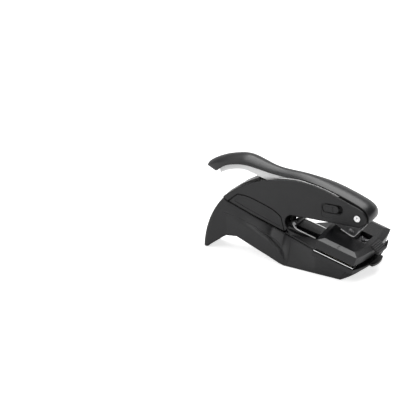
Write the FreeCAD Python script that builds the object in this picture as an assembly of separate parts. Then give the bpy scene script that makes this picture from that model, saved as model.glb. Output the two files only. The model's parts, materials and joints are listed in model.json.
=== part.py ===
import FreeCAD, Part
import math
import os

# Hand-held desk seal embosser: a handle presses a roller onto a clip that holds the two dies.
# Millimetres. Lengths run forward (+X) from the rear foot, +Y is the left side, +Z is up
# from the desk. export() moves the finished assembly so that the origin lies under its middle.

# ---------------------------------------------------------------- driving dimensions
foot_rear = -2.4                 # rearmost point, on the rear foot
tab_front = 144.9                # foremost point, on the thumb tab
origin_x = (foot_rear + tab_front) / 2

body_half = 10.6                 # casing half width at the main pin
side_taper = 1.32                # each side leans inward towards the rear, degrees
wall = 1.5                       # casing wall
pivot_x = 126.9                  # main pin
pivot_z = 45.2
pin_radius = 2.4
pin_head_radius = 2.6
running_gap = 0.05               # radial clearance of turning fits

casing_top = [(12.8, 42.9), (27.4, 53.8), (44.0, 61.2), (63.5, 66.0), (79.5, 67.0), (101.0, 63.0),
              (123.5, 55.0)]
front_centre = (126.9, 45.4)     # the casing's round front end
front_radius = 7.6
front_angle = 62.0               # where the crown runs into the round, degrees up from +X
groove = [(25.0, 47.6), (37.0, 46.7), (45.7, 44.0), (54.4, 40.9), (62.6, 35.4)]
casing_floor = 37.8
throat_radius = 6.05             # round rear end of the throat
throat_centre = (72.0, casing_floor - throat_radius)
neck_low = (65.6, 24.2)          # lowest point of the casing, behind the throat
casing_tail = (17.0, 40.5)
slot_rear = 46.5                 # rear end of the slot that the handle closes into
casing_screw_places = [(29.0, 49.4), (56.0, 52.0), (69.5, 44.4)]
crest_half = 5.6
crest_low = [(24.0, 51.0), (46.2, 59.8)]

shell_wall = 2.2                 # base shell
desk_gap = 0.6                   # the shell stands this far above the desk, on its pads
foot_pad_x = (78.0, 116.0)
foot_pad_y = 15.0
foot_pad_radius = 4.1
base_screw_places = [(86.0, 0.0), (108.0, 9.0), (108.0, -9.0)]
deck_z = 21.7                    # top rim of the base, under the deck plate
deck_groove = 0.9                # shadow gap between the rim and the deck plate
deck_top = 23.5

plate_inner = 2.2                # steel frame plates
plate_outer = 3.6
boss_radius = 5.2
anvil_low = -8.9                 # underside of the plate that backs the clip, in the clip's frame
rivet_radius = 1.6
rivet_places = [(50.0, 45.0), (62.0, 17.0), (84.0, 9.0), (110.0, 8.6), (100.0, 50.0)]

lever_inner = 3.9                # handle lever, a steel channel
lever_outer = 5.0
lever_thick = 1.1
lever_boss_radius = 5.6
lever_low = [(9.6, 61.0), (16.8, 64.8), (22.7, 66.5), (28.5, 67.1), (35.6, 65.9), (42.6, 63.7),
             (50.0, 61.6), (62.0, 59.4), (80.0, 56.4), (100.0, 49.6), (120.8, 39.8)]
lever_rivet = (113.0, 45.2)
lever_rivet_radius = 1.2
cover_skin = 1.7
skirt_thick = 1.3
cover_screw_x = (24.0, 70.0)
# the cover's cross-sections from the tip forward: x, skirt edge, top, half width, crown height
cover_sections = [
    (-0.8, 60.5, 66.6, 5.8, 1.6), (4.0, 61.0, 70.9, 7.2, 2.4), (8.0, 63.4, 73.2, 7.9, 2.8),
    (12.0, 67.3, 74.9, 8.4, 3.0), (18.0, 70.6, 77.0, 8.8, 3.2), (26.0, 72.2, 78.5, 9.0, 3.2),
    (34.0, 72.4, 78.4, 8.6, 3.0), (43.0, 70.8, 75.9, 7.7, 2.6), (52.0, 68.9, 73.0, 6.9, 2.0),
    (62.0, 68.2, 71.6, 6.5, 1.5), (78.0, 67.8, 70.8, 6.5, 1.2), (92.0, 64.2, 68.3, 7.5, 1.3),
    (104.0, 60.2, 65.4, 8.1, 1.5), (118.0, 54.6, 60.9, 8.4, 1.5),
    (128.0, 50.6, 57.0, 8.5, 1.5), (133.2, 45.4, 54.0, 8.5, 1.6),
    (136.3, 42.6, 50.8, 8.4, 1.8), (137.6, 43.8, 48.6, 7.9, 1.0),
]
tip_top = (-0.6, 67.2)           # the slanted end face of the tip
tip_bottom = (6.8, 62.4)

presser_outer = 6.6              # presser foot cheeks, outside the lever
roller_x = 120.4
roller_z = 32.5
roller_radius = 2.9
roller_half = 4.7
axle_radius = 1.5
leaf_half = 8.0                  # pressure leaf

lock_x = 106.3                   # ridge of the lock slider
lock_z = 49.6

jaw_x = 101.3                    # rear edge of the upper jaw, at the paper plane
jaw_z = 23.9
jaw_tilt = 16.5                  # the clip points down at the front, degrees
jaw_half = 32.0                  # clip half width
jaw_depth = 34.0                 # clip depth at its sides
jaw_bow = 3.9                    # its front stands this much further out in the middle
jaw_under = 1.0                  # underside, side edge and flat top of the upper jaw, above the paper plane
jaw_shoulder = 8.6
jaw_top = 9.7
jaw_floor = -6.2                 # underside of the lower jaw
tail_floor = -5.5                # its tail, behind the jaws
tail_top = -3.6
plate_low = -1.5                 # bright backing plate of the lower die
plate_high = -0.9
window_x = (20.0, 29.5)
window_half = 8.0
hinge_x = -28.65
hinge_z = -1.0
hinge_radius = 1.2
tongue_half = 6.2
tail_half = 10.9
die_length = 51.0
die_depth = 25.0


# ---------------------------------------------------------------- helpers
def at(x, z, y=0.0):
    return FreeCAD.Vector(x, y, z)


def export(node, shape):
    placed = shape.copy()
    placed.translate(FreeCAD.Vector(-origin_x, 0, 0))
    placed.exportStep("parts/" + node + ".step")


def spline(points, end_slope=None):
    """A smooth curve through side-view points; end_slope is its direction at the last one."""
    curve = Part.BSplineCurve()
    places = [at(x, z) for x, z in points]
    if end_slope is None:
        curve.interpolate(places)
    else:
        curve.interpolate(Points=places, InitialTangent=places[1] - places[0],
                          FinalTangent=at(*end_slope))
    return curve.toShape()


def line(a, b):
    return Part.LineSegment(at(*a), at(*b)).toShape()


def run_of_lines(points):
    return [line(points[i], points[i + 1]) for i in range(len(points) - 1)]


def arc(a, middle, b):
    return Part.Arc(at(*a), at(*middle), at(*b)).toShape()


def on_circle(centre, radius, angle):
    """Side-view point of a circle, with the angle in degrees up from +X."""
    turn = math.radians(angle)
    return (centre[0] + radius * math.cos(turn), centre[1] + radius * math.sin(turn))


def prism(edges, y_low, y_high):
    """A side outline, drawn in the X-Z plane, made into a solid between two Y planes."""
    face = Part.Face(Part.Wire(edges))
    solid = face.extrude(FreeCAD.Vector(0, y_high - y_low, 0))
    solid.translate(FreeCAD.Vector(0, y_low, 0))
    return solid


def plate(points, y_low, y_high):
    return prism(run_of_lines(points + [points[0]]), y_low, y_high)


def mirrored(shape):
    return shape.mirror(at(0, 0), FreeCAD.Vector(0, 1, 0))


def both_sides(shape):
    return shape.fuse(mirrored(shape))


def rod(x, z, radius, y_low, y_high):
    return Part.makeCylinder(radius, y_high - y_low, at(x, z, y_low), FreeCAD.Vector(0, 1, 0))


def post(x, y, radius, z_low, z_high):
    return Part.makeCylinder(radius, z_high - z_low, FreeCAD.Vector(x, y, z_low))


def box(x, y, z):
    """A box from its (low, high) pairs."""
    return Part.makeBox(x[1] - x[0], y[1] - y[0], z[1] - z[0], FreeCAD.Vector(x[0], y[0], z[0]))


def rounded_plate(x_low, x_high, z_low, z_high, radius, y_low, y_high):
    solid = box((x_low, x_high), (y_low, y_high), (z_low, z_high))
    corners = [e for e in solid.Edges if e.BoundBox.XLength < 0.01 and e.BoundBox.ZLength < 0.01]
    return solid.makeFillet(radius, corners)


def on_side(shape):
    """Turns a shape drawn on the plane Y = -body_half onto the tapered right side."""
    placed = shape.copy()
    placed.rotate(at(pivot_x, 0, -body_half), FreeCAD.Vector(0, 0, 1), -side_taper)
    return placed


def half_at(x):
    """Half width of the casing at a length."""
    return body_half - (pivot_x - x) * math.tan(math.radians(side_taper))


def in_clip(shape):
    """Turns a shape drawn on the paper plane into its place on the embosser."""
    turn = FreeCAD.Rotation(FreeCAD.Vector(0, 1, 0), jaw_tilt)
    placed = shape.copy()
    placed.Placement = FreeCAD.Placement(at(jaw_x, jaw_z), turn).multiply(placed.Placement)
    return placed


def clip_point(x, z):
    """Side-view position of a point of the paper plane's frame."""
    a = math.radians(jaw_tilt)
    return (jaw_x + x * math.cos(a) + z * math.sin(a), jaw_z - x * math.sin(a) + z * math.cos(a))


def bowed_wire(rear, rear_middle, front, front_middle, half, z):
    """Plan outline with straight sides and with its front and rear bowed out in the middle."""
    def v(x, y):
        return FreeCAD.Vector(x, y, z)
    return Part.Wire([
        Part.LineSegment(v(rear, -half), v(front, -half)).toShape(),
        Part.Arc(v(front, -half), v(front_middle, 0), v(front, half)).toShape(),
        Part.LineSegment(v(front, half), v(rear, half)).toShape(),
        Part.Arc(v(rear, half), v(rear_middle, 0), v(rear, -half)).toShape(),
    ])


# ---------------------------------------------------------------- base
def base_section(x, top, ridge, bottom):
    """One cross-section of the base: (half width, height) of its top edge, ridge and bottom."""
    right = [top, ridge, bottom]
    corners = [FreeCAD.Vector(x, -w, z) for w, z in right]
    corners += [FreeCAD.Vector(x, w, z) for w, z in reversed(right)]
    return Part.makePolygon(corners + [corners[0]])


def base_middle(inset):
    """The flanks behind the clip: upright below the ridge line, leaning in above it."""
    stations = [
        (16.0, (8.0, 39.9), (8.8, 27.6), (9.6, 12.0)),
        (26.0, (8.3, 36.2), (10.6, 25.7), (11.0, 13.4)),
        (38.0, (8.6, 31.8), (13.1, 22.7), (13.8, 9.9)),
        (55.4, (9.0, 25.9), (16.9, 16.8), (17.8, 4.9)),
        (66.0, (9.3, 22.4), (19.2, 10.0), (20.1, 1.5)),
        (70.0, (11.7, deck_z), (20.2, 4.6), (20.7, desk_gap)),
        (73.0, (13.5, deck_z), (21.0, 0.9), (21.1, desk_gap)),
    ]
    wires = [base_section(x, (top[0] - inset, top[1] + inset), (ridge[0] - inset, ridge[1] + inset),
                          (bottom[0] - inset, bottom[1] + inset))
             for x, top, ridge, bottom in stations]
    return Part.makeLoft(wires, True, True)


def nose_wire(rear, middle, corner, front, z):
    """Plan outline of the nose at one height; each point is (x, half width)."""
    def v(point, side):
        return FreeCAD.Vector(point[0], side * point[1], z)
    return Part.Wire([
        Part.LineSegment(v(rear, -1), v(middle, -1)).toShape(),
        Part.LineSegment(v(middle, -1), v(corner, -1)).toShape(),
        Part.Arc(v(corner, -1), FreeCAD.Vector(front, 0, z), v(corner, 1)).toShape(),
        Part.LineSegment(v(corner, 1), v(middle, 1)).toShape(),
        Part.LineSegment(v(middle, 1), v(rear, 1)).toShape(),
        Part.LineSegment(v(rear, 1), v(rear, -1)).toShape(),
    ])


def base_nose(inset):
    """The flaring nose: narrow and flat on the desk, as wide as the clip at the top."""
    low = nose_wire((69.8, 20.6 - inset), (97.0, 24.6 - inset), (121.0 - inset, 28.0 - inset),
                    128.0 - inset, desk_gap + inset)
    high = nose_wire((66.0, 9.3 - inset), (101.0, 30.4 - inset), (133.6 - inset, 30.4 - inset),
                     141.0 - inset, deck_z + inset)
    return Part.makeLoft([low, high], True, True)


def base_leg():
    """The curved rear leg: wider at the foot, with its rear edges rounded."""
    rear = [(foot_rear, desk_gap), (-1.8, 9.5), (0.3, 19.2), (4.0, 28.8), (8.2, 36.0), (12.8, 41.9)]
    front = [(18.4, 39.0), (18.4, 13.0), (14.8, 11.0), (1.0, desk_gap)]
    leg = prism([spline(rear)] + run_of_lines([rear[-1]] + front + [rear[0]]), -10.4, 10.4)
    lean = plate([(-10.0, -5.0), (30.0, -5.0), (30.0, 50.0), (-10.0, 50.0)], -20.0, 0.0)
    lean.rotate(at(0, 0), FreeCAD.Vector(1, 0, 0), -3.2)
    lean.translate(FreeCAD.Vector(0, -10.4, 0))
    leg = leg.cut([lean, mirrored(lean)])
    rear_edges = [e for e in leg.Edges if e.Length > 38 and e.CenterOfMass.x < 7.5]
    return leg.makeFillet(2.6, rear_edges)


def clip_room(low_z):
    """Everything above a height of the clip's frame, from just behind its lower jaw."""
    return in_clip(box((-1.7, 60.0), (-45.0, 45.0), (low_z, 60.0)))


def base_shell():
    outer = base_leg().fuse([base_middle(0.0), base_nose(0.0)])
    inner = base_middle(shell_wall).fuse(base_nose(shell_wall))
    shell = outer.cut(inner.common(box((20.0, 121.0), (-40.0, 40.0), (0.0, 60.0))))
    shell = shell.cut(clip_room(jaw_floor - 0.3))
    floor = box((72.0, 122.0), (-19.0, 19.0), (desk_gap, desk_gap + 2.0))
    shell = shell.fuse(floor.common(outer))
    for x in foot_pad_x:
        for side in (-1, 1):
            shell = shell.cut(post(x, side * foot_pad_y, foot_pad_radius, 0.0, 1.2))
    for x, y in base_screw_places:
        shell = shell.cut(post(x, y, 1.2, 0.0, 6.0))
        shell = shell.cut(post(x, y, 2.5, 0.0, 1.3))
    return shell.cut(anvil_plate()).removeSplitter()


def rubber_feet():
    pads = []
    for x in foot_pad_x:
        for side in (-1, 1):
            pad = post(x, side * foot_pad_y, foot_pad_radius, 0.0, 1.2)
            rim = [e for e in pad.Edges if e.BoundBox.ZMax < 0.01]
            pads.append(pad.makeChamfer(0.3, rim))
    return Part.makeCompound(pads)


def rear_foot_pad():
    return box((foot_rear + 0.6, 1.0), (-8.0, 8.0), (0.0, desk_gap))


def base_screws():
    screws = []
    for x, y in base_screw_places:
        head = post(x, y, 2.4, 0.8, 1.3)
        slot = box((x - 1.8, x + 1.8), (y - 0.3, y + 0.3), (0.7, 1.0))
        screws.append(head.fuse(post(x, y, 1.2, 1.3, 4.6)).cut(slot))
    return Part.makeCompound(screws)


def deck_outline(inset, z):
    return nose_wire((66.4 + inset, 9.5 - inset), (83.0, 19.4 - inset), (99.8 - inset, 29.6 - inset),
                     99.7 - inset, z)


def tray_point(level, height):
    """Where a plane of the clip's frame comes to a height above the desk."""
    a = math.radians(jaw_tilt)
    return clip_point((jaw_z + level * math.cos(a) - height) / math.sin(a), level)


def deck_plate():
    """The shelf behind the clip, flaring from the casing to the clip's full width, over a groove."""
    shelf_low = deck_z + deck_groove
    shelf = Part.makeLoft([deck_outline(0.0, shelf_low), deck_outline(0.3, deck_top)], True, True)
    rim = Part.makeLoft([deck_outline(1.2, deck_z), deck_outline(1.2, shelf_low)], True, True)
    wings = shelf.fuse(rim).cut([box((60.0, 110.0), (-4.0, 4.0), (10.0, 40.0)),
                                 box((71.0, 110.0), (-11.6, 11.6), (10.0, 40.0))])
    rear, front = hinge_x - 3.3, -2.0
    high, low = tail_floor - 0.3, tail_floor - 2.1
    tray = plate([clip_point(rear, high), clip_point(front, high), clip_point(front, low),
                  clip_point(rear, low)], -13.0, 13.0)
    side = plate([(68.8, shelf_low), clip_point(rear, high), tray_point(high, deck_top), (98.9, deck_top),
                  clip_point(front, low), tray_point(low, shelf_low)], 11.6, 13.0)
    outline = Part.Face(nose_wire((66.0, 9.3), (101.0, 30.3), (133.0, 30.3), 140.0, 0.0))
    inside = outline.extrude(FreeCAD.Vector(0, 0, 60))
    return wings.fuse([tray, side, mirrored(side)]).common(inside).removeSplitter()


# ---------------------------------------------------------------- casing
def casing_outline():
    crown_end = on_circle(front_centre, front_radius, front_angle)
    slope = math.radians(front_angle - 90)
    under = on_circle(front_centre, front_radius, -90)
    throat_top = on_circle(throat_centre, throat_radius, 90)
    throat_end = on_circle(throat_centre, throat_radius, 232)
    return [
        spline(casing_top + [crown_end], (math.cos(slope), math.sin(slope))),
        arc(crown_end, on_circle(front_centre, front_radius, 0), under),
        line(under, throat_top),
        arc(throat_top, on_circle(throat_centre, throat_radius, 160), throat_end),
        line(throat_end, neck_low),
        line(neck_low, groove[-1]),
        spline(groove[::-1]),
        line(groove[0], casing_tail),
        line(casing_tail, casing_top[0]),
    ]


def casing_side():
    """One half of the casing, on the right: side wall, crown, floor web and screw bosses."""
    side = prism(casing_outline(), -body_half, 6.0)
    outer_rim = [e for e in side.Edges
                 if e.BoundBox.YMax < -body_half + 0.01 and e.BoundBox.ZMax > 52]
    side = side.makeFillet(1.1, outer_rim)
    inner_top = [(x + 1.4, z - wall) for x, z in casing_top]
    open_floor_x = 103.0         # the floor web ends here, ahead of it the presser foot hangs down
    tail = [inner_top[-1], (140.0, 56.0), (140.0, 30.0), (open_floor_x, 30.0),
            (open_floor_x, casing_floor + wall), (71.0, casing_floor + wall), (64.6, 33.0),
            (63.2, 20.0), (12.0, 20.0), inner_top[0]]
    side = side.cut(prism([spline(inner_top)] + run_of_lines(tail), -body_half + wall, 7.0))
    side = on_side(side).cut(box((0.0, 150.0), (0.0, 30.0), (0.0, 90.0)))
    slot = on_side(box((slot_rear, 145.0), (-body_half + wall, 20.0), (casing_floor + wall, 80.0)))
    side = side.cut(slot)
    side = side.cut(plate(crest_low + [(50.0, 80.0), (24.0, 80.0)], -crest_half, 1.0))
    side = side.cut(rod(pivot_x, pivot_z, 3.5, -body_half - 0.5, -body_half + 0.9))
    side = side.cut(rod(pivot_x, pivot_z, pin_radius, -body_half, 0.0))
    for x, z in casing_screw_places:
        boss = rod(x, z, 2.6, -half_at(x) + wall - 0.3, 0.0)
        side = side.fuse(boss).cut(rod(x, z, 1.1, -half_at(x) + wall, 1.0))
    return side


def casing_right():
    side = casing_side()
    outside = -body_half - 1.0
    panel = rounded_plate(96.8, 120.0, 41.9, 53.1, 2.2, outside, -body_half + 0.25)
    recess = rounded_plate(97.4, 115.3, 45.5, 53.5, 3.4, outside, -body_half + 0.8)
    window = rounded_plate(100.1, 113.9, 46.9, 52.3, 0.9, outside, -body_half + wall + 1.0)
    return side.cut([on_side(panel), on_side(recess), on_side(window)])


def casing_left():
    side = mirrored(casing_side())
    for x, z in casing_screw_places:
        face = half_at(x)
        side = side.cut(rod(x, z, 2.3, face - 1.0, face + 1.0)).cut(rod(x, z, 1.1, 0.0, face))
    return side


def casing_screws():
    screws = []
    for x, z in casing_screw_places:
        face = half_at(x)
        head = rod(x, z, 2.1, face - 1.0, face - 0.3)
        shank = rod(x, z, 1.1, -face + wall, face - 1.0)
        cross = box((x - 1.2, x + 1.2), (face - 0.6, face), (z - 0.25, z + 0.25))
        cross = cross.fuse(box((x - 0.25, x + 0.25), (face - 0.6, face), (z - 1.2, z + 1.2)))
        screws.append(head.fuse(shank).cut(cross))
    return Part.makeCompound(screws)


def crest_cap():
    """The raised black insert behind the handle slot."""
    crown = [crest_low[0], (26.6, 53.9), (31.0, 56.9), (36.0, 59.7), (41.2, 62.2)]
    cap = prism([spline(crown)] + run_of_lines([crown[-1], (43.2, 61.4), crest_low[1], crest_low[0]]),
                -crest_half, crest_half)
    rim = [e for e in cap.Edges if e.Length > 17 and abs(e.CenterOfMass.y) > crest_half - 0.1
           and e.CenterOfMass.z > 56.6]
    return cap.makeFillet(1.2, rim)


def side_panel():
    """A recessed panel below the casing's groove, bare, with a flange behind the casing wall."""
    top = [(x - 0.5, z - 1.1) for x, z in groove]
    top[0] = (25.0, 46.5)
    low = [top[-1], (64.7, 23.9), (37.6, 32.6), (18.0, 40.0), top[0]]
    panel = prism([spline(top)] + run_of_lines(low), -body_half + 0.5, -body_half + 2.6)
    behind = [(26.0, 49.2), (37.2, 48.2), (46.6, 45.6), (55.6, 42.6), (63.6, 37.0)]
    flange = prism([spline(behind)] + run_of_lines([behind[-1], (64.6, 35.2), (61.6, 28.0),
                                                    (38.0, 36.0), (22.0, 42.0), behind[0]]),
                   -body_half + wall, -body_half + 2.6)
    field = [(22.6, 41.0), (27.0, 45.0), (37.0, 44.0), (52.0, 38.8), (59.4, 33.4), (61.5, 27.0),
             (37.5, 35.0)]
    carved = on_side(panel.fuse(flange).cut(plate(field, -body_half, -body_half + 0.8)))
    for x, z in casing_screw_places:
        carved = carved.cut(rod(x, z, 3.0, -body_half, 0.0))
    return carved.removeSplitter()


# ---------------------------------------------------------------- frame
def frame_plate():
    """One plate of the steel C frame that takes the pressing force, on the right."""
    top = [(50.0, 55.0), (64.0, 60.0), (80.0, 60.8), (96.0, 58.4), (112.0, 53.6), (129.2, 49.9)]
    front = on_circle((pivot_x, pivot_z), boss_radius, -12)
    under = (124.8, 40.4)
    corners = [under, (115.0, 42.6), (104.0, 40.6), (72.0, 40.4), (63.9, 36.6), (62.6, 24.0),
               (64.0, 20.0), clip_point(-24.0, anvil_low), clip_point(21.0, anvil_low),
               clip_point(21.0, anvil_low - 2.6),
               (110.0, 4.6), (74.0, 4.6), (58.0, 12.0), (45.0, 30.0), (42.0, 43.0), (44.5, 51.6),
               top[0]]
    steel = prism([spline(top), arc(top[-1], front, under)] + run_of_lines(corners),
                  -plate_outer, -plate_inner)
    steel = steel.cut(rod(pivot_x, pivot_z, pin_radius, -20, 0))
    for x, z in rivet_places:
        steel = steel.cut(rod(x, z, rivet_radius, -20, 0))
    for x, z in casing_screw_places:
        steel = steel.cut(rod(x, z, 2.8, -20, 0))
    return steel


def frame_rivets():
    return Part.makeCompound([rod(x, z, rivet_radius, -plate_outer, plate_outer)
                              for x, z in rivet_places])


def frame_spacers():
    return Part.makeCompound([rod(x, z, 3.0, -plate_inner, plate_inner).cut(rod(x, z, rivet_radius, -5, 5))
                              for x, z in rivet_places])


def anvil_plate():
    """Steel plate across the frame that backs the lower jaw."""
    return in_clip(box((0.0, 24.0), (-24.0, 24.0), (anvil_low, jaw_floor - 0.3)))


def main_pin():
    pin = rod(pivot_x, pivot_z, pin_radius, -body_half + 0.9, body_half - 0.9)
    for side in (-1, 1):
        outward = FreeCAD.Vector(0, side, 0)
        seat = at(pivot_x, pivot_z, side * (body_half - 0.9))
        bottom = at(pivot_x, pivot_z, side * (body_half - 0.5))
        pin = pin.fuse(Part.makeCylinder(pin_head_radius, 0.9, seat, outward))
        pin = pin.cut(Part.makeCone(0.2, 1.1, 0.5, bottom, outward))
    return pin.removeSplitter()


def return_spring():
    """Coil round the main pin, between the frame plates, that lifts the handle when unlocked."""
    coil_radius = 3.3
    wire_radius = 0.4
    pitch = 0.95
    steps_per_turn = 12
    sections = []
    for step in range(4 * steps_per_turn + 1):
        turn = 2 * math.pi * step / steps_per_turn
        y = -1.9 + pitch * step / steps_per_turn
        ring = []
        for corner in range(6):
            a = math.pi * corner / 3
            reach = coil_radius + wire_radius * math.cos(a)
            ring.append(FreeCAD.Vector(pivot_x + reach * math.cos(turn), y + wire_radius * math.sin(a) * 0.9,
                                       pivot_z + reach * math.sin(turn)))
        sections.append(Part.makePolygon(ring + [ring[0]]))
    return Part.makeLoft(sections, True, True)


# ---------------------------------------------------------------- lock
def lock_slider():
    """Thumb slide on the right side: a ridged knob outside, a flat bolt inside."""
    face = -body_half
    low, high = lock_z - 2.9, lock_z + 2.9
    knob = rounded_plate(98.2, 111.2, low, high, 2.4, face - 0.1, face + 0.45)
    rise = rounded_plate(101.2, 109.9, low + 0.8, high - 0.8, 1.6, face - 0.3, face + 0.1)
    ridge = box((lock_x - 0.4, lock_x + 0.4), (face - 0.6, face + 0.1), (low + 0.3, high - 0.3))
    stem = box((100.7, 110.1), (face + 0.3, face + wall + 0.6), (lock_z - 2.2, lock_z + 2.2))
    bolt = box((99.4, 111.4), (face + wall + 0.35, face + wall + 1.3), (low - 0.4, high + 0.4))
    return on_side(knob.fuse([ridge, rise, stem, bolt]).removeSplitter())


# ---------------------------------------------------------------- handle
def cover_wire(x, low, top, half, crown):
    def v(y, z):
        return FreeCAD.Vector(x, y, z)
    shoulder = top - crown
    return Part.Wire([
        Part.LineSegment(v(-half, low), v(-half, shoulder)).toShape(),
        Part.Arc(v(-half, shoulder), v(0, top), v(half, shoulder)).toShape(),
        Part.LineSegment(v(half, shoulder), v(half, low)).toShape(),
        Part.LineSegment(v(half, low), v(-half, low)).toShape(),
    ])


def handle_cover():
    """Thin moulded cover: an S-curved palm grip, a narrow neck and a wide round-ended hood."""
    outer = Part.makeLoft([cover_wire(*section) for section in cover_sections], True, False)
    inner = [cover_wire(x, low - 6.0, top - cover_skin, half - skirt_thick, crown)
             for x, low, top, half, crown in cover_sections[1:-3]]
    cover = outer.cut(Part.makeLoft(inner, True, False))
    beyond_tip = [tip_top, tip_bottom, (6.8, 50.0), (-5.0, 50.0), (-5.0, 70.0)]
    cover = cover.cut(plate(beyond_tip, -20.0, 20.0))
    cover = cover.cut(rod(pivot_x, pivot_z, lever_boss_radius + 0.4, -7.4, 7.4))
    end_wall = plate([tip_top, tip_bottom, (8.6, 64.2), (2.6, 69.0)], -5.6, 5.6)
    return cover.fuse(end_wall).cut(cover_screws()).removeSplitter()


def cover_underside(x):
    """Height of the cover's inner ceiling on the centre line."""
    for a, b in zip(cover_sections, cover_sections[1:]):
        if a[0] <= x <= b[0]:
            share = (x - a[0]) / (b[0] - a[0])
            return a[2] + share * (b[2] - a[2]) - cover_skin


def lever_web_line(drop):
    return [(x, top - cover_skin - drop) for x, low, top, half, crown in cover_sections[3:-3]]


def handle_lever():
    """Inner lever: a bent steel channel that straddles the frame plates."""
    top = [(9.2, 64.8)] + lever_web_line(0.2)
    front_top = (131.6, 49.0)
    round_end = on_circle((pivot_x, pivot_z), lever_boss_radius, -20)
    edges = [spline(top), line(top[-1], front_top), arc(front_top, round_end, lever_low[-1]),
             spline(lever_low[::-1]), line(lever_low[0], top[0])]
    channel = prism(edges, -lever_outer, lever_outer)
    under = [(10.4, 64.0)] + lever_web_line(0.2 + lever_thick)
    inner = [spline(under)] + run_of_lines([under[-1], (145.0, 48.0), (145.0, 20.0), (10.4, 20.0), under[0]])
    channel = channel.cut(prism(inner, -lever_inner, lever_inner))
    channel = channel.cut(rod(pivot_x, pivot_z, pin_radius + running_gap, -20, 20))
    channel = channel.cut(rod(*lever_rivet, lever_rivet_radius, -20, 20))
    for x in cover_screw_x:
        channel = channel.cut(post(x, 0, 1.1, 30, 90))
        channel = channel.cut(post(x, 0, 2.3, 30, screw_seat(x)))
    return channel.removeSplitter()


def screw_seat(x):
    """Height of the spot face that a cover screw's head bears on."""
    return cover_underside(x) - 0.2 - 0.7 * lever_thick


def cover_screws():
    """Screws from under the lever into the cover."""
    screws = []
    for x in cover_screw_x:
        seat = screw_seat(x)
        head = post(x, 0, 2.2, seat - 1.2, seat)
        shank = post(x, 0, 1.1, seat, seat + 2.2)
        slot = box((x - 2.3, x + 2.3), (-0.3, 0.3), (seat - 1.3, seat - 0.8))
        screws.append(head.fuse(shank).cut(slot))
    return Part.makeCompound(screws)


def presser_foot():
    """Two dark cheeks below the pivot that carry the roller, joined by a bridge."""
    corners = [(108.0, 44.0), (106.0, 38.6), (107.4, 35.8), (118.2, 30.15), (120.6, 29.25),
               (123.0, 28.95), (127.2, 34.1), (131.4, 41.6)]
    crest = (pivot_x, pivot_z + boss_radius)
    edges = run_of_lines(corners)
    edges.append(arc(corners[-1], on_circle((pivot_x, pivot_z), boss_radius, 5), crest))
    edges.append(line(crest, corners[0]))
    cheek = prism(edges, -presser_outer, -lever_outer)
    cheek = cheek.cut(rod(pivot_x, pivot_z, pin_radius + running_gap, -20, 0))
    cheek = cheek.cut(rod(roller_x, roller_z, axle_radius, -20, 0))
    cheek = cheek.cut(rod(*lever_rivet, lever_rivet_radius, -20, 0))
    bridge = plate([(124.3, 30.7), (127.0, 34.1), (126.2, 34.9), (123.6, 31.5)], -lever_outer - 0.5,
                   lever_outer + 0.5)
    return both_sides(cheek).fuse(bridge).removeSplitter()


def presser_rivets():
    rivet = rod(*lever_rivet, lever_rivet_radius, -presser_outer - 0.2, -lever_inner)
    return Part.makeCompound([rivet, mirrored(rivet)])


def roller_axle():
    axle = rod(roller_x, roller_z, axle_radius, -presser_outer, presser_outer)
    for side in (-1, 1):
        outward = FreeCAD.Vector(0, side, 0)
        low = Part.makeCylinder(2.0, 0.4, at(roller_x, roller_z, side * presser_outer), outward)
        dome = Part.makeCone(2.0, 1.5, 0.4, at(roller_x, roller_z, side * (presser_outer + 0.4)), outward)
        axle = axle.fuse([low, dome])
    return axle.removeSplitter()


def press_roller():
    roller = rod(roller_x, roller_z, roller_radius, -roller_half, roller_half)
    return roller.cut(rod(roller_x, roller_z, axle_radius + running_gap, -6, 6))


def pressure_leaf():
    """Bright spring strip that wraps under the presser foot and slides on the clip's top."""
    outer = [(113.0, 32.3), (118.2, 29.6), (120.6, 28.7), (123.3, 28.35), (127.9, 34.1)]
    inner = [(127.45, 34.3), (123.0, 28.9), (120.6, 29.2), (118.2, 30.1), (113.2, 32.7)]
    return plate(outer + inner, -leaf_half, leaf_half)


# ---------------------------------------------------------------- clip
def upper_jaw():
    """Deep upper jaw with a bevelled rim, a window on top and the hinged tongue behind."""
    front = jaw_depth + jaw_bow
    low = bowed_wire(-0.2, -3.2, jaw_depth - 0.7, front - 0.7, jaw_half, jaw_under)
    shoulder = bowed_wire(-0.2, -3.2, jaw_depth, front, jaw_half, jaw_shoulder)
    high = bowed_wire(3.5, 0.5, jaw_depth - 4.4, front - 4.7, jaw_half - 5.6, jaw_top)
    jaw = Part.makeLoft([low, shoulder], True, True).fuse(Part.makeLoft([shoulder, high], True, True))
    tongue = plate([(hinge_x, -2.7), (-6.0, -2.0), (-4.0, 1.2), (-2.0, 1.2), (-2.0, 6.0), (-4.4, 2.6),
                    (-7.6, -1.0), (hinge_x + 2.0, -1.7), (hinge_x + 1.6, 0.4), (hinge_x, 1.0)],
                   -tongue_half, tongue_half)
    knuckle = rod(hinge_x, hinge_z, 2.2, -tongue_half, tongue_half)
    jaw = jaw.fuse([tongue, knuckle])
    jaw = jaw.cut(rod(hinge_x, hinge_z, hinge_radius + running_gap, -20, 20))
    jaw = jaw.cut(box(window_x, (-window_half, window_half), (5.6, 20.0)))
    jaw = jaw.cut(box((3.5, 30.5), (-die_length / 2, die_length / 2), (0.0, 2.2)))
    for side in (-1, 1):
        mark = box((16.5, 17.4), (-1.9, 1.9), (-0.5, 0.9))
        mark.rotate(FreeCAD.Vector(0, 0, 0), FreeCAD.Vector(1, 0, 0), side * -11.0)
        mark.translate(FreeCAD.Vector(0, side * 29.2, jaw_top - 0.6))
        jaw = jaw.cut(mark)
    return in_clip(jaw.cut(tab_seat()).removeSplitter())


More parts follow.
